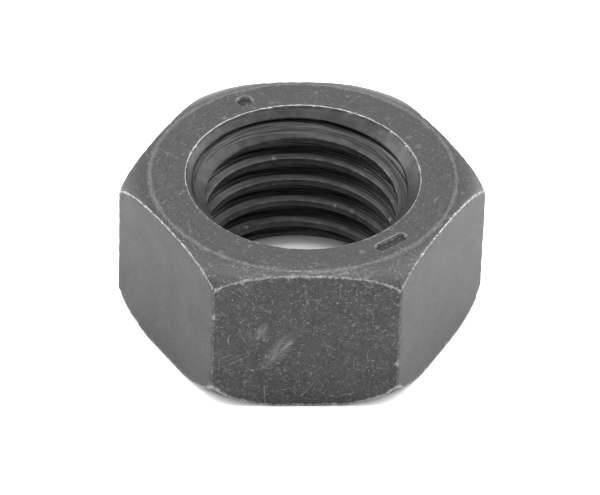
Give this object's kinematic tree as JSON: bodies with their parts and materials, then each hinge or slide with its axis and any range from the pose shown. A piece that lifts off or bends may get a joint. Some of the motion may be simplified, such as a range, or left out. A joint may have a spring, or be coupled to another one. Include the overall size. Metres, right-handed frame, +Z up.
{
  "type": "hex nut",
  "caption": "Plain hexagon nut in blackened steel with a coarse right-hand thread, chamfered outside and countersunk on both faces.",
  "frame": {"origin": "centre of the bottom bearing face, on the thread axis", "axes": "+Z up along the thread axis, towards the marked face; flats face -Y and +Y, corners on X"},
  "size_m": [0.0408, 0.0354, 0.0185],
  "materials": {
    "blackened_steel": "black oxide over forged and machined steel, oiled, worn bright in spots along the edges"
  },
  "bodies": {
    "root": {"hex_nut": "blackened_steel"}
  },
  "joints": []
}
